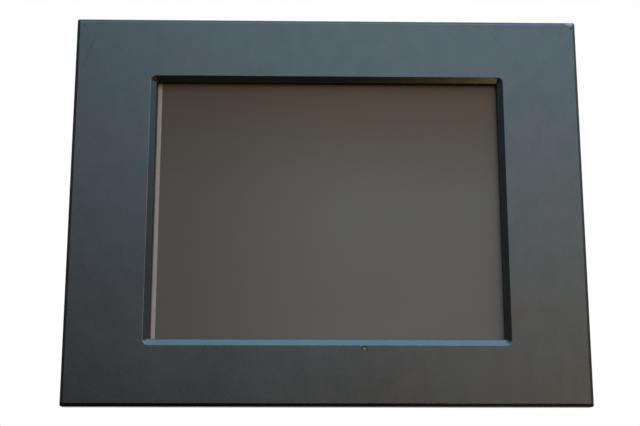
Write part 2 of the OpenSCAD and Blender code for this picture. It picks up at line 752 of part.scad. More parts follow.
module card_socket() color("#303030") {
    low = card_z0 - 0.2;
    high = card_z0 + card_w + 0.2;
    start = 94;
    end = 129.5;
    top = card_y0 + card_t + 0.2;
    block([start, board_back, low - 2.8], [end, card_y0 - 0.2, button_z + 4.2]);
    block([start, card_y0 - 0.2 - EPS, low - 2.8], [card_end_x - card_l - 0.2, top, high + 1]);
    for (z = [low - 2.8, high]) block([start, card_y0 - 0.2 - EPS, z], [end, top + 0.8, z + 2.8]);
    block([start, top, low - 2.8], [end, top + 0.8, low + 1.5]);
    block([start, top, high - 1.5], [end, top + 0.8, high + 2.8]);
    block([start, card_y0 - 0.2 - EPS, button_z + 2.4], [end, top + 0.8, button_z + 4.2]);
}

module memory_card() color("darkslateblue") {
    x0 = card_end_x - card_l;
    difference() {
        block([x0, card_y0, card_z0], [card_end_x, card_y0 + card_t, card_z0 + card_w]);
        for (z = [card_z0 - 1, card_z0 + card_w - 1])
            block([x0 - 1, card_y0 + 1.1, z], [x0 + 26, card_y0 + card_t - 1.1, z + 2]);
        block([card_end_x - 1.2, card_y0 + card_t - 0.5, card_z0 + 6],
            [card_end_x + 1, card_y0 + card_t + 1, card_z0 + card_w - 6]);
    }
}

module eject_button() color("black") {
    cap_x = card_end_x + eject_travel - 5;
    block([104, card_y0 + 0.2, button_z - 2], [cap_x + EPS, card_y0 + 3, button_z + 2]);
    difference() {
        block([cap_x, card_y0 - 0.4, button_z - 2.8], [cap_x + 5, card_y0 + 3.6, button_z + 2.8]);
        for (z = [-1.5, 0, 1.5])
            block([cap_x + 4.6, card_y0 - 1, button_z + z - 0.3],
                [cap_x + 6, card_y0 + 4, button_z + z + 0.3]);
    }
}

module card_door() color("gray") {
    inner_x = step_w / 2 + 0.4;
    free_y = 25.6;
    difference() {
        union() {
            block([inner_x, free_y, door_z0], [inner_x + 1.6, hinge_y, door_z1]);
            translate([hinge_x, hinge_y, door_z0]) cylinder(h = door_z1 - door_z0, r = hinge_r);
            block([inner_x + 1.5, free_y, 19], [inner_x + 2.9, free_y + 1.4, 31]);
            block([inner_x - 1.8, bay_y0 + 0.8, 22], [inner_x + EPS, bay_y0 + 1.8, 28]);
        }
        translate([hinge_x, hinge_y, door_z0 - 1])
            cylinder(h = door_z1 - door_z0 + 2, r = pin_r + 0.07);
    }
}

module door_hinge_pin() color("silver") {
    z0 = door_z0 - lug_gap - lug_t - 0.4;
    z1 = door_z1 + lug_gap + lug_t;
    translate([hinge_x, hinge_y, z0]) cylinder(h = z1 - z0, r = pin_r);
    translate([hinge_x, hinge_y, z1]) cylinder(h = 0.8, r = 1.5);
}

// ---------- slide switches ----------

dip_y = 32.6;
dip_low = plate_low - 0.2;
lever_y = dip_y - dip_travel / 2;

module dip_switch_block() color("firebrick") difference() {
    block([dip_x - 5.6, 28.3, dip_low], [dip_x + 5.6, 36.9, -66]);
    for (i = [0 : dip_count - 1]) {
        x = dip_x + (i - (dip_count - 1) / 2) * dip_pitch;
        block([x - 0.75, dip_y - dip_travel / 2 - 0.9, dip_low - 1],
            [x + 0.75, dip_y + dip_travel / 2 + 0.9, dip_low + 3.4]);
    }
}

// Lever of one slide switch, at the end of its slot away from the case's rear
module dip_lever(i) color("white") {
    x = dip_x + (i - (dip_count - 1) / 2) * dip_pitch;
    block([x - 0.6, lever_y - 0.75, dip_low - 1.2], [x + 0.6, lever_y + 0.75, dip_low + 3.2]);
}

front_bezel();
panel_gasket();
status_led_lens();
status_led_board();
touch_border();
touch_film();
touch_glass();
touch_seal();
touch_tail();
lcd_front_frame();
lcd_cell();
light_guide();
backlight_lamps();
lcd_back_plate();
lcd_brackets();
lcd_screws();
lcd_ribbon_cable();
chassis_plate();
chassis_screws();
inverter_board();
inverter_transformer();
lamp_leads();
main_board();
board_standoffs();
board_screws();
board_components();
capacitors();
heat_sink();
buzzer();
coin_cell_holder();
coin_cell();
expansion_connector();
rear_case();
case_screws();
expansion_cover();
expansion_screws();
rating_label();
connector_plate();
plate_screws();
power_terminal();
terminal_screws();
serial_port_9();
serial_port_25();
port_inserts();
port_posts();
ethernet_jack();
usb_ports();
earth_screw();
card_socket();
memory_card();
eject_button();
card_door();
door_hinge_pin();
dip_switch_block();
dip_lever(0);  // dip_lever_1
dip_lever(1);  // dip_lever_2
dip_lever(2);  // dip_lever_3
dip_lever(3);  // dip_lever_4
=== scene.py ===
"""Looks of a panel-mounted HMI touch screen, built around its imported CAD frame.

X runs to the right as the operator sees it, Y into the cabinet and Z up. Lengths are in metres.
"""

import json
import math

import bmesh
import bpy
from mathutils import Matrix, Vector


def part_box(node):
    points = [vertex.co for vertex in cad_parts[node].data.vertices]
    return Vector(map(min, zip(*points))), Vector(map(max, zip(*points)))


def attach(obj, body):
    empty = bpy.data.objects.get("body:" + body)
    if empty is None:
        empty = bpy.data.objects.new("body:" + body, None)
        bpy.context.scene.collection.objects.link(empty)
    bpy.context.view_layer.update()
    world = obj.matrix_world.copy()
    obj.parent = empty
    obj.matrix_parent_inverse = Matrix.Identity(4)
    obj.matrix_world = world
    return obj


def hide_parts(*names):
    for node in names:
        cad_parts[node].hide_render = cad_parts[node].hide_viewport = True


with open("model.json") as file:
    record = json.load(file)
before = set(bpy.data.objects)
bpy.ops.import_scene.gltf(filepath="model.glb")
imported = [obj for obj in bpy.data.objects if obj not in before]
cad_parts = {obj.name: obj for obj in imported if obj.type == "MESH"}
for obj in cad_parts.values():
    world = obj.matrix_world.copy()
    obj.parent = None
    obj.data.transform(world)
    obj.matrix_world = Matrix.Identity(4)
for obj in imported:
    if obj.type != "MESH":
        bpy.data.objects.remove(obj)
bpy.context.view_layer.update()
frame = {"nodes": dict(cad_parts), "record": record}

MM = 0.001
# Vertices nearer to each other than this are one vertex, in metres
WELD = 2e-6
# Straight steps in each rounded corner of an outline, and in the rounding along it
ARC_STEPS = 8
FILLET_STEPS = 3

nodes = frame["nodes"]


# ---------- camera, light and floor ----------

# The camera stands low in front of the panel and looks up at it. Its angles are in degrees.
EYE = Vector((-19.8, -723.8, -169.7)) * MM
CAMERA_PITCH = 13.03
CAMERA_ROLL = 0.02
CAMERA_YAW = -1.21
LENS = 67.3
SENSOR = 36
# Side and height of the ground, in metres
FLOOR_SIZE = 6
FLOOR_Z = -0.25


def make_camera():
    """The camera of the main picture."""
    data = bpy.data.cameras.new("camera")
    data.lens = LENS
    data.sensor_width = SENSOR
    data.clip_start = 0.01
    camera = bpy.data.objects.new("camera", data)
    camera.location = EYE
    camera.rotation_euler = [math.radians(a) for a in (90 + CAMERA_PITCH, CAMERA_ROLL, CAMERA_YAW)]
    bpy.context.scene.collection.objects.link(camera)
    bpy.context.scene.camera = camera


class Graph:
    """A shader tree, with a short way to add and link its nodes."""

    def __init__(self, tree):
        self.tree = tree
        tree.nodes.clear()

    def add(self, kind, inputs=(), **settings):
        """A new node, with its inputs by name or number and its own settings."""
        node = self.tree.nodes.new("ShaderNode" + kind)
        for name, value in settings.items():
            setattr(node, name, value)
        for name, value in dict(inputs).items():
            self.set(node.inputs[name], value)
        return node

    def set(self, socket, value):
        """Links a socket to the value, or gives it the value where that isn't a socket."""
        if isinstance(value, bpy.types.NodeSocket):
            self.tree.links.new(value, socket)
        elif hasattr(value, "__len__") and len(value) == 3 and socket.type == "RGBA":
            socket.default_value = (*value, 1)
        else:
            socket.default_value = value

    def maths(self, operation, a, b=0.0, clamp=False):
        """The result of a sum on one or two values."""
        node = self.add("Math", {0: a, 1: b}, operation=operation, use_clamp=clamp)
        return node.outputs[0]

    def vector(self, operation, a, b=(0, 0, 0)):
        """The result of a sum on vectors: a value where that is what the operation gives."""
        node = self.add("VectorMath", {0: a, 1: b}, operation=operation)
        return node.outputs["Value" if operation in ("DOT_PRODUCT", "DISTANCE", "LENGTH") else 0]

    def spread(self, value, low, high, to_low=0.0, to_high=1.0):
        """value from low..high to to_low..to_high, smoothly and without going past them."""
        inputs = {"Value": value, "From Min": low, "From Max": high, "To Min": to_low, "To Max": to_high}
        return self.add("MapRange", inputs, interpolation_type="SMOOTHSTEP").outputs[0]

    def mix(self, factor, a, b, blend="MIX"):
        """Colour a at factor 0, and at factor 1 colour b, or a blended with b."""
        node = self.add("Mix", data_type="RGBA", blend_type=blend)
        self.set(node.inputs[0], factor)
        self.set(node.inputs[6], a)
        self.set(node.inputs[7], b)
        return node.outputs[2]


# Soft lights of the studio: azimuth in degrees from straight in front towards the right, elevation in
# degrees, sharpness (a higher one is a narrower light), colour
LIGHTS = {
    "over_front": (4, 70, 20, (0.62, 1.38, 1.68)),
    "over_right": (65, 72, 20, (0.4, 0.1, 0.3)),
    "high_right": (60, 47, 15, (1.35, 2, 2.4)),
    "high_left": (-52, 52, 16, (0.42, 0.85, 1.05)),
    "middle": (0, 28, 25, (1.14, 1.4, 1.51)),
    "middle_right": (24, 24, 25, (0.47, 0.78, 0.99)),
    "low_right": (18, 4, 42, (1.08, 0.58, 0.232)),
    "below_right": (40, -12, 16, (0.1, 0.1, 0.05)),
    "below_front": (-6, -20, 8, (0.1, 0.085, 0.06)),
    "low_left": (-16, 5, 30, (0.06, 0, 0)),
    "low_side": (56, 9, 30, (0.085, 0.095, 0.11)),
    "warm_floor": (23, -43, 350, (6.6, 4.1, 1.75)),
    "left": (-46, 8, 10, (0.115, 0.105, 0.11)),
    "right": (90, 15, 6, (0.21, 0.1, 0.02)),
    "behind": (165, 35, 5, (1.6, 1.65, 1.7)),
    "behind_right": (128, 15, 10, (1.5, 1.55, 1.6)),
    "behind_left": (-128, 15, 10, (1.3, 1.35, 1.4)),
    "behind_below": (180, -35, 5, (0.5, 0.5, 0.5)),
}


def make_world():
    """Light that comes from soft lobes all round; the camera itself sees a plain white backdrop."""
    world = bpy.data.worlds.new("studio")
    world.use_nodes = True
    bpy.context.scene.world = world
    g = Graph(world.node_tree)
    direction = g.add("TexCoord").outputs["Generated"]
    total = (0.0, 0.0, 0.0)
    for azimuth, elevation, sharpness, colour in LIGHTS.values():
        a, e = math.radians(azimuth), math.radians(elevation)
        towards = (math.sin(a) * math.cos(e), -math.cos(a) * math.cos(e), math.sin(e))
        near = g.maths("SUBTRACT", g.vector("DOT_PRODUCT", direction, towards), 1.0)
        lobe = g.maths("EXPONENT", g.maths("MULTIPLY", near, sharpness))
        node = g.add("VectorMath", {0: colour, "Scale": lobe}, operation="SCALE")
        total = g.vector("ADD", node.outputs[0], total)
    light = g.add("Background", {"Color": total})
    backdrop = g.add("Background", {"Color": (1, 1, 1)})
    seen = g.add("LightPath").outputs["Is Camera Ray"]
    shader = g.add("MixShader", {0: seen, 1: light.outputs[0], 2: backdrop.outputs[0]})
    g.add("OutputWorld", {"Surface": shader.outputs[0]})
    bpy.context.scene.view_settings.view_transform = "Standard"


def make_floor():
    """Plain pale ground, which throws no light back on the panel."""
    bpy.ops.mesh.primitive_plane_add(size=FLOOR_SIZE, location=(0, 0, FLOOR_Z))
    floor = bpy.context.object
    floor.name = "floor"
    material = bpy.data.materials.new("floor")
    material.use_nodes = True
    g = Graph(material.node_tree)
    grain = g.add("TexNoise", {"Scale": 9, "Detail": 3}).outputs[0]
    colour = g.mix(grain, (0.86, 0.735, 0.655), (0.9, 0.77, 0.69))
    shader = g.add("BsdfPrincipled", {"Base Color": colour, "Roughness": 0.9})
    g.add("OutputMaterial", {"Surface": shader.outputs[0]})
    floor.data.materials.append(material)
    floor.visible_glossy = False
    floor.visible_diffuse = False


# ---------- sizes that both the bezel and the materials need ----------

# The bezel's opening, its sloping rim and the window that the rim leaves, in millimetres
OPENING_W = 221.7
OPENING_H = 169.5
OPENING_X = 0
OPENING_Z = -0.6
RIM_W = 3.6
RIM_D = 2.2
WINDOW_W = OPENING_W - 2 * RIM_W
WINDOW_H = OPENING_H - 2 * RIM_W
WINDOW_LEFT = OPENING_X - WINDOW_W / 2
WINDOW_TOP = OPENING_Z + WINDOW_H / 2


# ---------- materials ----------

def new_material(name):
    """An empty material and the graph of its shader."""
    material = bpy.data.materials.new(name)
    material.use_nodes = True
    return material, Graph(material.node_tree)


def noise(g, place, scale, detail, stretch=(1, 1, 1)):
    """Cloudy value round 0.5, with about scale blobs to a metre. A stretch above 1 shortens them."""
    at = g.vector("MULTIPLY", place, stretch)
    return g.add("TexNoise", {"Vector": at, "Scale": scale, "Detail": detail, "Roughness": 0.5}).outputs[0]


def bump(g, height, depth, strength):
    """Normal of a surface that this height raises by up to the depth."""
    return g.add("Bump", {"Height": height, "Distance": depth, "Strength": strength}).outputs[0]


def near(g, place, at, radius):
    """1 at a point in millimetres, falling to 0 at the radius round it."""
    away = g.vector("DISTANCE", place, tuple(Vector(at) * MM))
    return g.spread(away, radius * MM, 0.3 * radius * MM)


def scratch(g, place, start, end, width):
    """1 along a straight fine scratch between two points of the front face, in millimetres."""
    start, end = Vector(start) * MM, Vector(end) * MM
    along, length = (end - start).normalized(), (end - start).length
    off = g.vector("SUBTRACT", place, tuple(start))
    far = g.vector("DOT_PRODUCT", off, tuple(along))
    aside = g.maths("ABSOLUTE", g.vector("DOT_PRODUCT", off, (-along.z, 0, along.x)))
    line = g.spread(aside, width * MM, 0.2 * width * MM)
    ends = g.maths("MULTIPLY", g.spread(far, 0, 0.3 * length), g.spread(far, length, 0.7 * length))
    return g.maths("MULTIPLY", line, ends)


# Fine scratches on the face: start, end, width and how strongly each shows
SCRATCHES = [
    ((101.5, -9, 117), (112.5, -9, 104.3), 0.5, 0.3),
    ((-144.9, -9, 112), (-150.8, -9, 98.5), 1.1, 0.18),
    ((-150.4, -9, 100), (-153.8, -9, 87), 1.1, 0.18),
    ((-155, -9, 116.2), (-152.3, -9, 118.8), 0.7, 0.4),
    ((137, -9, -104), (140, -9, -110), 0.5, 0.25),
    ((-60, -9, -101), (-46, -9, -104), 0.4, 0.15),
]
# The knocked corner: where its coating is scuffed light, how far, and the small dark spot below it
SCUFFS = [((153.3, -8.2, 120.6), 1.5), ((155.4, -8.3, 120.4), 2)]
DARK_SPOT_AT = (155.6, -9, 117.3)


def bezel_material(part="face"):
    """Dark slate satin coating on aluminium: lighter where its edges are rubbed, smoother on the rim."""
    material, g = new_material("bezel_" + part)
    place = g.add("TexCoord").outputs["Object"]
    cloud = noise(g, place, 18, 3)
    fine = noise(g, place, 1400, 2)
    shade = g.maths("ADD", g.maths("MULTIPLY", cloud, 0.35), g.maths("MULTIPLY", fine, 0.65))
    dark, light = (0.094, 0.109, 0.117), (0.118, 0.132, 0.142)
    if part == "edge":
        dark, light = (0.13, 0.15, 0.16), (0.19, 0.21, 0.22)
    colour = g.mix(g.spread(shade, 0.3, 0.7), dark, light)
    stain = g.spread(noise(g, place, 55, 2), 0.38, 0.62)
    colour = g.mix(1.0, colour, g.mix(stain, (1.03, 0.985, 1.005), (0.98, 1.01, 1.0)), "MULTIPLY")
    patch = g.spread(noise(g, place, 95, 3, (1, 1, 0.7)), 0.35, 0.65)
    colour = g.mix(1.0, colour, g.mix(patch, (0.97, 0.97, 0.97), (1.03, 1.03, 1.03)), "MULTIPLY")
    for start, end, width, strength in SCRATCHES:
        mark = g.maths("MULTIPLY", scratch(g, place, start, end, width), strength)
        colour = g.mix(mark, colour, (0.03, 0.034, 0.036))
    worn = g.spread(noise(g, place, 700, 3), 0.3, 0.5)
    for at, radius in SCUFFS:
        colour = g.mix(g.maths("MULTIPLY", near(g, place, at, radius), worn), colour, (0.3, 0.33, 0.36))
    # a small dark spot below the scuffed corner
    colour = g.mix(g.maths("MULTIPLY", near(g, place, DARK_SPOT_AT, 1.2), 0.7), colour, (0.02, 0.02, 0.02))
    smooth, rough = (0.15, 0.21) if part == "rim" else (0.26, 0.34)
    gloss = g.spread(g.maths("ADD", fine, cloud), 0.6, 1.4, smooth, rough)
    normal = bump(g, fine, 0.02 * MM, 0.5)
    shader = g.add("BsdfPrincipled", {
        "Base Color": colour, "Metallic": 1.0, "Roughness": gloss, "Normal": normal})
    g.add("OutputMaterial", {"Surface": shader.outputs[0]})
    return material


def shaded_wall_material():
    """Matte near-black paint on the short wall between the rim and the screen: a dark paint, darkened
    further to stand in for the shade in the recess.
    """
    material, g = new_material("bezel_wall")
    place = g.add("TexCoord").outputs["Object"]
    fine = noise(g, place, 1200, 2)
    # near-black colour: dark paint and painted shade of the recess
    colour = g.mix(fine, (0.03, 0.032, 0.034), (0.05, 0.053, 0.056))
    shader = g.add("BsdfPrincipled", {
        "Base Color": colour, "Roughness": 0.8, "Specular IOR Level": 0.2,
        "Normal": bump(g, fine, 0.02 * MM, 0.5)})
    g.add("OutputMaterial", {"Surface": shader.outputs[0]})
    return material


# Colours of the screen at the left and the right, in its upper and its lower part: its own dark colour with
# painted shade that browns the top left and painted light that pales the lower right
SCREEN_SHADED_TOP = ((0.158, 0.105, 0.071), (0.216, 0.141, 0.089))
SCREEN_LIT_LOW = ((0.192, 0.149, 0.126), (0.279, 0.228, 0.195))
# How far down from the window's upper edge the screen is painted lighter, in millimetres, and how much
# lighter the
# screen is there: painted light against the shade that the wall throws
PAINTED_LIGHT_REACH = 3
PAINTED_LIGHT_GAIN = 1.6


def screen_material():
    """Matte anti-glare film over the dark display, with painted shade that makes it brown at the top,
    painted light that makes it paler towards the lower right, and a band of painted light just under the
    window's upper edge.
    """
    material, g = new_material("screen_film")
    low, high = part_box("touch_film")
    place = g.add("TexCoord").outputs["Object"]
    split = g.add("SeparateXYZ", {0: place})
    smear = noise(g, place, 9, 4, (1, 1, 2.2))
    stray = g.maths("MULTIPLY", g.maths("SUBTRACT", smear, 0.5), 0.3)
    width, height = high.x - low.x, high.z - low.z
    across = g.spread(split.outputs["X"], low.x, low.x + 0.62 * width)
    down = g.spread(split.outputs["Z"], high.z - 0.06 * height, high.z - 0.5 * height)
    across = g.maths("ADD", across, stray, clamp=True)
    down = g.maths("ADD", down, stray, clamp=True)
    # painted shade at the top left, painted light towards the lower right
    left = g.mix(down, SCREEN_SHADED_TOP[0], SCREEN_LIT_LOW[0])
    right = g.mix(down, SCREEN_SHADED_TOP[1], SCREEN_LIT_LOW[1])
    colour = g.mix(across, left, right)
    # painted light just under the window's upper edge, where the wall's shade falls
    painted_light_end = (WINDOW_TOP - PAINTED_LIGHT_REACH) * MM
    painted_light = g.spread(split.outputs["Z"], painted_light_end, WINDOW_TOP * MM, 1, PAINTED_LIGHT_GAIN)
    colour = g.vector("MULTIPLY", colour, g.add("CombineXYZ", {0: painted_light, 1: painted_light, 2: painted_light}).outputs[0])
    gloss = g.spread(smear, 0.3, 0.7, 0.3, 0.36)
    normal = bump(g, noise(g, place, 5200, 1), 0.002 * MM, 0.4)
    shader = g.add("BsdfPrincipled", {
        "Base Color": colour, "Roughness": gloss, "Normal": normal, "Specular IOR Level": 0.2})
    g.add("OutputMaterial", {"Surface": shader.outputs[0]})
    return material


def tape_material():
    """Matte beige tape with a faint woven grain, darkened by painted shade along the wall beside it."""
    material, g = new_material("border_tape")
    place = g.add("TexCoord").outputs["Object"]
    fibre = noise(g, place, 500, 3, (6, 1, 1))
    colour = g.mix(g.spread(fibre, 0.3, 0.7), (0.59, 0.43, 0.35), (0.74, 0.56, 0.47))
    from_wall = g.maths("SUBTRACT", g.add("SeparateXYZ", {0: place}).outputs["X"], WINDOW_LEFT * MM)
    patchy = g.maths("ADD", from_wall, g.maths("MULTIPLY", noise(g, place, 130, 2), 0.3 * MM))
    # painted shade: darker within about a millimetre of the wall
    wall_shade = g.spread(patchy, 1.15 * MM, 0.55 * MM)
    shader = g.add("BsdfPrincipled", {
        "Base Color": g.mix(wall_shade, colour, (0.11, 0.1, 0.09)), "Roughness": 0.6,
        "Normal": bump(g, fibre, 0.02 * MM, 0.4)})
    g.add("OutputMaterial", {"Surface": shader.outputs[0]})
    return material


def lens_material():
    """Olive tinted lens."""
    material, g = new_material("led_lens")
    place = g.add("TexCoord").outputs["Object"]
    cloud = noise(g, place, 900, 2)
    colour = g.mix(cloud, (0.2, 0.2, 0.09), (0.31, 0.31, 0.16))
    shader = g.add("BsdfPrincipled", {
        "Base Color": colour, "Roughness": 0.25, "Subsurface Weight": 0.15, "Subsurface Scale": 1 * MM})
    g.add("OutputMaterial", {"Surface": shader.outputs[0]})
    return material


# ---------- mesh helpers ----------

def new_piece(name, bm, body, replaced, materials):
    """Turns a bmesh into a shaded piece of the object."""
    mesh = bpy.data.meshes.new(name)
    bmesh.ops.recalc_face_normals(bm, faces=bm.faces)
    for face in bm.faces:
        face.smooth = True
    bm.to_mesh(mesh)
    bm.free()
    for material in materials:
        mesh.materials.append(material)
    piece = bpy.data.objects.new(name, mesh)
    bpy.context.scene.collection.objects.link(piece)
    piece.modifiers.new("flat faces stay flat", "WEIGHTED_NORMAL").weight = 100
    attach(piece, body)
    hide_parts(*replaced)
    return piece


def rounded_rect(width, height, radius, y, centre=(0, 0)):
    """Outline of a rounded rectangle in the plane y, as a closed list of points."""
    points = []
    for quarter, (sx, sz) in enumerate(((1, 1), (-1, 1), (-1, -1), (1, -1))):
        for i in range(ARC_STEPS + 1):
            a = math.radians(90 * (quarter + i / ARC_STEPS))
            x = centre[0] + sx * (width / 2 - radius) + radius * math.cos(a)
            z = centre[1] + sz * (height / 2 - radius) + radius * math.sin(a)
            points.append(Vector((x, y, z)) * MM)
    return points


def loft(bm, loops, fillet, strips):
    """Skins a closed run of closed loops. The rounding along a loop gets material 1. Strips gives the
    material of the flat strip that follows a loop, where it isn't 0."""
    rings = []
    for i, loop in enumerate(loops):
        before, after = loops[i - 1], loops[(i + 1) % len(loops)]
        for s in range(FILLET_STEPS + 1):
            t = s / FILLET_STEPS
            ring = []
            for a, p, b in zip(before, loop, after):
                start = p + (a - p).normalized() * min(fillet, (a - p).length * 0.45)
                end = p + (b - p).normalized() * min(fillet, (b - p).length * 0.45)
                ring.append(bm.verts.new(start * (1 - t) ** 2 + p * 2 * t * (1 - t) + end * t * t))
            rings.append((ring, 1 if s < FILLET_STEPS else strips.get(i, 0)))
    for k, (ring, finish) in enumerate(rings):
        following = rings[(k + 1) % len(rings)][0]
        for j in range(len(ring)):
            n = (j + 1) % len(ring)
            face = bm.faces.new((ring[j], ring[n], following[n], following[j]))
            face.material_index = finish


def rod(bm, start, end, radius, end_radius=None, sides=32):
    """Adds a closed round bar or cone between two points, in millimetres."""
    start, end = Vector(start) * MM, Vector(end) * MM
    turn = (end - start).to_track_quat("Z", "Y").to_matrix().to_4x4()
    place = Matrix.Translation((start + end) / 2) @ turn
    bmesh.ops.create_cone(bm, cap_ends=True, segments=sides, matrix=place, depth=(end - start).length,
                          radius1=radius * MM, radius2=(radius if end_radius is None else end_radius) * MM)


def bar(bm, low, high):
    """Adds a closed box between two corners, in millimetres."""
    low, high = Vector(low) * MM, Vector(high) * MM
    size = Matrix.Diagonal((*(high - low), 1))
    bmesh.ops.create_cube(bm, size=1, matrix=Matrix.Translation((low + high) / 2) @ size)


def combine(piece, shapes, operation):
    """Joins closed shapes to a piece or cuts them out of it, for good. Each shape is a bmesh of its own."""
    for bm in shapes:
        mesh = bpy.data.meshes.new("tool")
        for face in bm.faces:
            face.smooth = True
        bm.to_mesh(mesh)
        bm.free()
        tool = bpy.data.objects.new("tool", mesh)
        bpy.context.scene.collection.objects.link(tool)
        change = piece.modifiers.new("change", "BOOLEAN")
        change.operation = operation
        change.object = tool
        piece.modifiers.move(len(piece.modifiers) - 1, 0)
        with bpy.context.temp_override(object=piece):
            bpy.ops.object.modifier_apply(modifier=change.name)
        bpy.data.objects.remove(tool)


def shape(build, *details):
    """A new bmesh that holds one shape."""
    bm = bmesh.new()
    build(bm, *details)
    return bm


# ---------- front bezel ----------

# Sizes of the bezel that no node's box tells, in millimetres. The frame round the opening's back, the skirt
# that goes into the cut-out and the gasket's groove are rings.
BEZEL_FILLET = 0.25
CHAMFER_W = 2
CHAMFER_D = 1.3
RECESS = (223.2, 171.2)
FRAME_W = 238
FRAME_H = 184
FACE_T = 4
SKIRT_W = 294.4
SKIRT_H = 220.4
SKIRT_T = 4
SKIRT_END = 9
GROOVE_W = 312
GROOVE_H = 238
GROOVE_T = 4.5
GROOVE_D = 2
RIB_XS = (-90, -45, 45, 90)
RIB_ZS = (-30, 30)
RIB_HALF = 1.5
LAMP_HOLE_R = 1.3
# Bosses of the chassis plate's screws and of the display brackets' screws: how far they are from the middle,
# where they end, from where to where their holes go, and their radius
CHASSIS_BOSS = {"x": 136, "z": 98, "end": 13.4, "hole": (4.4, 14), "radius": 4.5}
BRACKET_BOSS = {"x": 130, "z": 60, "end": 4, "hole": (-3, 5), "radius": 4}
BOSS_HOLE_R = 1.25
# Which outlines of the bezel are the sloping rim's outer edge, and its inner edge, where the wall starts
RIM_OUTER_LOOP = 3
RIM_INNER_LOOP = 4
# Which of the bezel's materials these two strips get; 0 is the face's and 1 that of the rounded edges
WALL_FINISH = 2
RIM_FINISH = 3


def make_bezel():
    """The bezel, as one closed skin through its outlines, with ribs, bosses and holes worked into it."""
    low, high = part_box("front_bezel")
    border_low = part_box("touch_border")[0].y / MM
    width, height = (high.x - low.x) / MM, (high.z - low.z) / MM
    front = low.y / MM
    pocket_y = front + FACE_T
    opening_at = (OPENING_X, OPENING_Z)
    inner_w, inner_h = SKIRT_W - 2 * SKIRT_T, SKIRT_H - 2 * SKIRT_T
    groove_inner = (GROOVE_W - 2 * GROOVE_T, GROOVE_H - 2 * GROOVE_T)
    loops = [
        rounded_rect(width, height, 1.2, 0),
        rounded_rect(width, height, 1.2, front + CHAMFER_D),
        rounded_rect(width - 2 * CHAMFER_W, height - 2 * CHAMFER_W, 0.4, front),
        rounded_rect(OPENING_W, OPENING_H, 3.4, front, opening_at),
        rounded_rect(WINDOW_W, WINDOW_H, 0.5, front + RIM_D, opening_at),
        rounded_rect(WINDOW_W, WINDOW_H, 0.5, border_low, opening_at),
        rounded_rect(*RECESS, 0.6, border_low, opening_at),
        rounded_rect(*RECESS, 0.6, 0, opening_at),
        rounded_rect(FRAME_W, FRAME_H, 2, 0, opening_at),
        rounded_rect(FRAME_W, FRAME_H, 2, pocket_y, opening_at),
        rounded_rect(inner_w, inner_h, 0.5, pocket_y),
        rounded_rect(inner_w, inner_h, 0.5, SKIRT_END),
        rounded_rect(SKIRT_W, SKIRT_H, 2.5, SKIRT_END),
        rounded_rect(SKIRT_W, SKIRT_H, 2.5, 0),
        rounded_rect(*groove_inner, 0.5, 0),
        rounded_rect(*groove_inner, 0.5, -GROOVE_D),
        rounded_rect(GROOVE_W, GROOVE_H, 3, -GROOVE_D),
        rounded_rect(GROOVE_W, GROOVE_H, 3, 0),
    ]
    bm = bmesh.new()
    loft(bm, loops, BEZEL_FILLET * MM, {RIM_OUTER_LOOP: RIM_FINISH, RIM_INNER_LOOP: WALL_FINISH})
    bezel = new_piece("front_bezel_machined", bm, "housing", ["front_bezel"],
                      [bezel_material(), bezel_material("edge"), shaded_wall_material(), bezel_material("rim")])
    combine(bezel, bezel_ribs(inner_w, inner_h, pocket_y) + bezel_bosses(pocket_y), "UNION")
    combine(bezel, lamp_hole(front) + boss_holes(), "DIFFERENCE")


def bezel_ribs(width, height, pocket_y):
    """Stiffening ribs across the ring-shaped pocket behind the face."""
    ribs = []
    for side in (-1, 1):
        frame_top = OPENING_Z + side * FRAME_H / 2
        for x in RIB_XS:
            z0, z1 = sorted((frame_top - side, side * (height / 2 + 1)))
            ribs.append(shape(bar, (x - RIB_HALF, pocket_y - 1, z0), (x + RIB_HALF, -0.05, z1)))
        frame_side = OPENING_X + side * FRAME_W / 2
        for z in RIB_ZS:
            x0, x1 = sorted((frame_side - side, side * (width / 2 + 1)))
            ribs.append(shape(bar, (x0, pocket_y - 1, z - RIB_HALF), (x1, -0.05, z + RIB_HALF)))
    return ribs


def boss_places():
    """Each boss with its own place, corner by corner."""
    return [(boss, x * boss["x"], z * boss["z"])
            for x in (-1, 1) for z in (-1, 1) for boss in (CHASSIS_BOSS, BRACKET_BOSS)]


def bezel_bosses(pocket_y):
    """Round bosses for the chassis plate's and the display brackets' screws."""
    return [shape(rod, (x, pocket_y - 1, z), (x, boss["end"], z), boss["radius"])
            for boss, x, z in boss_places()]


def boss_holes():
    """Screw holes of the bosses."""
    return [shape(rod, (x, boss["hole"][0], z), (x, boss["hole"][1], z), BOSS_HOLE_R)
            for boss, x, z in boss_places()]


def lamp_hole(front):
    """Hole of the status lamp, with a small countersink on the face and room for its board behind."""
    low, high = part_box("status_led_lens")
    x, z = (low.x + high.x) / 2 / MM, (low.z + high.z) / 2 / MM
    r = LAMP_HOLE_R
    sink = shape(rod, (x, front - 0.1, z), (x, front + 0.4, z), r + 0.65, r)
    board_space = shape(bar, (x - 7, front + FACE_T, z - 12), (x + 7, 1, z + 1.3))
    return [shape(rod, (x, front - 1, z), (x, front + 6, z), r), sink, board_space]


# ---------- contacts inside the ports ----------

# How far apart the contacts of a D-shaped port, of the network jack and of a USB port lie, in millimetres
SERIAL_PITCH = 2.76
SERIAL_ROW = 1.42
JACK_PITCH = 1.02
USB_PITCH = 2.3
# Width of one USB port, and the two sides of the springs on its tongue, in millimetres
USB_W = 13.2
USB_SPRING_Y = (29.95, 30.25)


def middle(node):
    """Middle of a node's box, in millimetres."""
    low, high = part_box(node)
    return (low + high) / 2 / MM


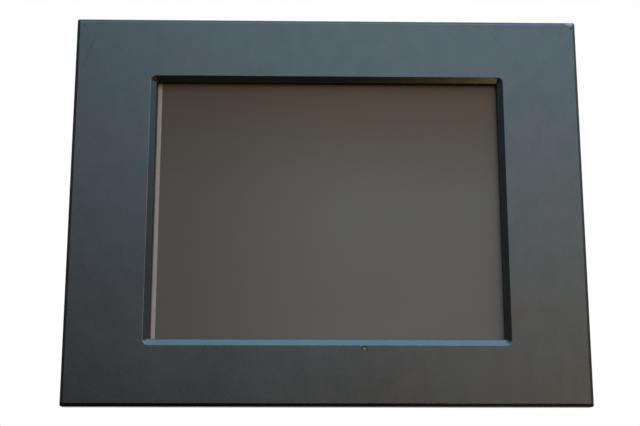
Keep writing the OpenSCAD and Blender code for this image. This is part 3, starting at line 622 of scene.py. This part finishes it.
def serial_contacts(bm, node, count):
    """Turned sockets just inside the holes of a D-shaped port's insert."""
    at, mouth = middle(node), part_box(node)[0].z / MM
    wide = (count + 1) // 2
    for i in range(count):
        row = i // wide
        place = i - row * wide - ((wide if row == 0 else count - wide) - 1) / 2
        x = at.x + place * SERIAL_PITCH
        y = at.y + (SERIAL_ROW if row == 0 else -SERIAL_ROW)
        rod(bm, (x, y, mouth + 0.9), (x, y, mouth + 4.4), 0.44, sides=12)


def jack_contacts(bm):
    """Eight sprung wires that slope down from the front of the network jack's mouth."""
    at, low = middle("ethernet_jack"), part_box("ethernet_jack")[0] / MM
    for i in range(8):
        x = at.x + (i - 3.5) * JACK_PITCH
        rod(bm, (x, low.y + 2.4, low.z + 2.4), (x, low.y + 5.2, low.z + 11.5), 0.2, sides=8)
        rod(bm, (x, low.y + 2.4, low.z + 2.4), (x, low.y + 2.3, low.z + 12.5), 0.2, sides=8)


def usb_contacts(bm):
    """Four flat springs on the tongue of each USB port."""
    low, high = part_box("usb_ports")
    front, back = USB_SPRING_Y
    for x in (low.x / MM + USB_W / 2, high.x / MM - USB_W / 2):
        for i in range(4):
            at = x + (i - 1.5) * USB_PITCH
            bar(bm, (at - 0.5, front, low.z / MM + 1.4), (at + 0.5, back, low.z / MM + 10))


def make_contacts():
    """The contacts of all ports, as one piece."""
    bm = bmesh.new()
    serial_contacts(bm, "serial_port_9", 9)
    serial_contacts(bm, "serial_port_25", 25)
    jack_contacts(bm)
    usb_contacts(bm)
    new_piece("port_contacts", bm, "housing", [], finish_of("gold_contact"))


# ---------- finishes of the other nodes ----------

# Each slot's finish: colour, roughness, and where they differ from FINISH_DEFAULTS: how metallic it is,
# grain size and depth, how much the colour varies, stretch of the grain, and how much lighter its edges are
FINISH_DEFAULTS = {
    "metallic": 0.0, "grain": 0.25 * MM, "depth": 0.01 * MM, "vary": 0.12, "stretch": (1, 1, 1),
    "edge": 1.25, "coat": 0.0, "transmission": 0.0,
}
FINISHES = {
    "soft_black": {"colour": (0.018, 0.018, 0.019), "rough": 0.8, "grain": 0.5 * MM, "depth": 0.05 * MM,
                   "vary": 0.3},
    "sensor_glass": {"colour": (0.82, 0.88, 0.86), "rough": 0.06, "transmission": 0.9, "depth": 0},
    "flex_tail": {"colour": (0.5, 0.24, 0.05), "rough": 0.35, "stretch": (14, 1, 1), "grain": 2 * MM,
                  "vary": 0.35},
    "display_steel": {"colour": (0.55, 0.55, 0.53), "rough": 0.34, "metallic": 1.0, "stretch": (1, 1, 16),
                      "grain": 2 * MM},
    "display_glass": {"colour": (0.02, 0.019, 0.018), "rough": 0.12, "depth": 0},
    "clear_acrylic": {"colour": (0.86, 0.88, 0.9), "rough": 0.12, "transmission": 0.6, "depth": 0},
    "lamp_glass": {"colour": (0.85, 0.85, 0.8), "rough": 0.3, "vary": 0.04},
    "screw_steel": {"colour": (0.52, 0.52, 0.5), "rough": 0.3, "metallic": 1.0, "grain": 0.3 * MM,
                    "vary": 0.2},
    "chassis_steel": {"colour": (0.5, 0.51, 0.5), "rough": 0.36, "metallic": 1.0, "grain": 6 * MM,
                      "vary": 0.22},
    "wire_insulation": {"colour": (0.5, 0.05, 0.16), "rough": 0.45, "vary": 0.08},
    "brass": {"colour": (0.7, 0.5, 0.2), "rough": 0.28, "metallic": 1.0, "vary": 0.2},
    "component_black": {"colour": (0.02, 0.02, 0.021), "rough": 0.55, "grain": 0.12 * MM, "vary": 0.2},
    "capacitor_sleeve": {"colour": (0.015, 0.02, 0.07), "rough": 0.3, "coat": 0.5, "vary": 0.1},
    "anodised_grey": {"colour": (0.2, 0.21, 0.22), "rough": 0.4, "metallic": 1.0, "stretch": (1, 14, 1)},
    "ivory_plastic": {"colour": (0.68, 0.64, 0.52), "rough": 0.5, "vary": 0.06},
    "cell_steel": {"colour": (0.62, 0.62, 0.6), "rough": 0.2, "metallic": 1.0},
    "case_metal": {"colour": (0.44, 0.45, 0.455), "rough": 0.4, "metallic": 0.9, "grain": 0.35 * MM,
                   "depth": 0.02 * MM, "vary": 0.07},
    "terminal_green": {"colour": (0.02, 0.2, 0.06), "rough": 0.45, "vary": 0.08},
    "port_metal": {"colour": (0.6, 0.6, 0.57), "rough": 0.26, "metallic": 1.0, "vary": 0.12},
    "card_plastic": {"colour": (0.025, 0.03, 0.055), "rough": 0.45, "vary": 0.12},
    "door_plastic": {"colour": (0.05, 0.056, 0.06), "rough": 0.5, "grain": 0.3 * MM, "depth": 0.03 * MM},
    "switch_red": {"colour": (0.38, 0.02, 0.015), "rough": 0.4, "vary": 0.08},
    "lever_white": {"colour": (0.75, 0.75, 0.72), "rough": 0.4, "vary": 0.05},
    "gold_contact": {"colour": (0.85, 0.6, 0.22), "rough": 0.22, "metallic": 1.0, "vary": 0.1},
}


def tinted(colour, factor):
    """The colour made lighter or darker by a factor."""
    return tuple(min(1.0, c * factor) for c in colour)


def surface(name, finish, edge=False):
    """Moulded, rolled or turned surface: cloudy colour, uneven gloss and a fine grain."""
    f = {**FINISH_DEFAULTS, **finish}
    material, g = new_material(name + ("_edge" if edge else ""))
    place = g.add("TexCoord").outputs["Object"]
    cloud = noise(g, place, 45, 3)
    fine = noise(g, place, 1 / f["grain"], 2, f["stretch"])
    base = tinted(f["colour"], f["edge"] if edge else 1)
    shade = g.maths("ADD", g.maths("MULTIPLY", cloud, 0.5), g.maths("MULTIPLY", fine, 0.5))
    colour = g.mix(g.spread(shade, 0.3, 0.7), tinted(base, 1 - f["vary"]), tinted(base, 1 + f["vary"]))
    gloss = g.spread(shade, 0.3, 0.7, max(0.03, f["rough"] - 0.06), f["rough"] + 0.06)
    inputs = {"Base Color": colour, "Roughness": gloss, "Metallic": f["metallic"],
              "Coat Weight": f["coat"], "Transmission Weight": f["transmission"]}
    if f["depth"]:
        inputs["Normal"] = bump(g, fine, f["depth"], 0.5)
    shader = g.add("BsdfPrincipled", inputs)
    g.add("OutputMaterial", {"Surface": shader.outputs[0]})
    return material


def board_material(edge=False):
    """Green solder mask over copper tracks that run along two directions; the bare board on its edges."""
    material, g = new_material("circuit_board" + ("_edge" if edge else ""))
    place = g.add("TexCoord").outputs["Object"]
    split = g.add("SeparateXYZ", {0: place})
    flat = g.add("CombineXYZ", {0: split.outputs["X"], 1: split.outputs["Z"], 2: 0.0}).outputs[0]
    sides = []
    for turn in (0, 90):
        turned = g.add("VectorRotate", {"Vector": flat, "Angle": math.radians(turn)}, rotation_type="Z_AXIS")
        tracks = g.add("TexBrick", {
            "Vector": turned.outputs[0], "Scale": 60.0, "Mortar Size": 0.03, "Mortar Smooth": 0.1,
            "Brick Width": 1.7, "Row Height": 0.13,
            "Color1": (0, 0, 0), "Color2": (0, 0, 0), "Mortar": (1, 1, 1)},
            offset=0.37, squash=0.6, squash_frequency=3)
        sides.append(tracks.outputs["Fac"])
    area = g.maths("GREATER_THAN", noise(g, flat, 22, 1), 0.5)
    track = g.add("Mix", {0: area, 2: sides[0], 3: sides[1]}).outputs[0]
    mask = (0.012, 0.085, 0.035) if not edge else (0.2, 0.19, 0.09)
    colour = g.mix(track, mask, tinted(mask, 1.9))
    normal = bump(g, track, 0.03 * MM, 0.6)
    shader = g.add("BsdfPrincipled", {
        "Base Color": colour, "Roughness": g.spread(noise(g, place, 90, 2), 0.3, 0.7, 0.25, 0.36),
        "Normal": normal, "Coat Weight": 0.4, "Coat Roughness": 0.15})
    g.add("OutputMaterial", {"Surface": shader.outputs[0]})
    return material


# Millimetres from the label's edges to its printed frame, and from its middle to its two ruled lines
LABEL_FRAME_INSET = 1.6
LABEL_RULE_Z = 6


def label_material(edge=False):
    """Blank matte label with a thin printed frame and two ruled lines."""
    material, g = new_material("label_film" + ("_edge" if edge else ""))
    low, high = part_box("rating_label")
    centre, half = (low + high) / 2, (high - low) / 2
    place = g.add("TexCoord").outputs["Object"]
    split = g.add("SeparateXYZ", {0: place})
    x = g.maths("ABSOLUTE", g.maths("SUBTRACT", split.outputs["X"], centre.x))
    z = g.maths("ABSOLUTE", g.maths("SUBTRACT", split.outputs["Z"], centre.z))
    inset = g.maths("MINIMUM", g.maths("SUBTRACT", half.x, x), g.maths("SUBTRACT", half.z, z))
    frame_line = g.maths("COMPARE", inset, LABEL_FRAME_INSET * MM)
    frame_line.node.inputs[2].default_value = 0.2 * MM
    rule = g.maths("COMPARE", z, LABEL_RULE_Z * MM)
    rule.node.inputs[2].default_value = 0.15 * MM
    inside = g.maths("GREATER_THAN", inset, LABEL_FRAME_INSET * MM)
    ink = g.maths("MAXIMUM", frame_line, g.maths("MULTIPLY", rule, inside))
    paper = g.mix(noise(g, place, 70, 3), (0.72, 0.72, 0.7), (0.8, 0.8, 0.78))
    shader = g.add("BsdfPrincipled", {
        "Base Color": g.mix(ink, paper, (0.05, 0.05, 0.055)), "Roughness": 0.55})
    g.add("OutputMaterial", {"Surface": shader.outputs[0]})
    return material


# Slots whose material has a function of its own. Those in WORN also say which material is the edges'.
UNWORN = {"screen_film": screen_material, "border_tape": tape_material, "led_lens": lens_material}
WORN = {"circuit_board": board_material, "label_film": label_material}
# The finishes made so far
made = {}


def finish_of(slot):
    """The slot's material and the one of its worn edges, made once."""
    if slot not in made:
        if slot in UNWORN:
            made[slot] = [UNWORN[slot](), UNWORN[slot]()]
        elif slot in WORN:
            made[slot] = [WORN[slot](), WORN[slot](edge=True)]
        else:
            made[slot] = [surface(slot, FINISHES[slot]), surface(slot, FINISHES[slot], edge=True)]
    return made[slot]


# Width of the rounding along each node's edges, in millimetres; the others get BEVEL
BEVEL = 0.12
BEVELS = {
    "rear_case": 0.45, "card_door": 0.3, "eject_button": 0.25, "memory_card": 0.2, "expansion_cover": 0.25,
    "connector_plate": 0.2, "power_terminal": 0.3, "chassis_plate": 0.25, "touch_glass": 0.2,
    "light_guide": 0.3, "lcd_back_plate": 0.25, "heat_sink": 0.2, "dip_switch_block": 0.2,
    "touch_border": 0.02, "touch_film": 0.05, "rating_label": 0.04, "main_board": 0.15,
}


def dress(node, slot):
    """Gives a CAD node its finish and rounds its edges, which its mesh keeps sharp."""
    piece = nodes[node]
    piece.data.materials.clear()
    for material in finish_of(slot):
        piece.data.materials.append(material)
    piece.modifiers.new("weld", "WELD").merge_threshold = WELD
    merge = piece.modifiers.new("flat faces", "DECIMATE")
    merge.decimate_type = "DISSOLVE"
    merge.angle_limit = math.radians(0.5)
    bevel = piece.modifiers.new("rounded edges", "BEVEL")
    bevel.width = BEVELS.get(node, BEVEL) * MM
    bevel.segments = 2
    bevel.limit_method = "ANGLE"
    bevel.angle_limit = math.radians(35)
    bevel.material = 1
    piece.modifiers.new("flat faces stay flat", "WEIGHTED_NORMAL").weight = 100


def dress_nodes():
    """Dresses every CAD node but the bezel, which has its own piece."""
    for part in frame["record"]["subparts"]:
        if part["node"] != "front_bezel":
            dress(part["node"], part["material_slot"])


make_camera()
make_world()
make_floor()
make_bezel()
make_contacts()
dress_nodes()
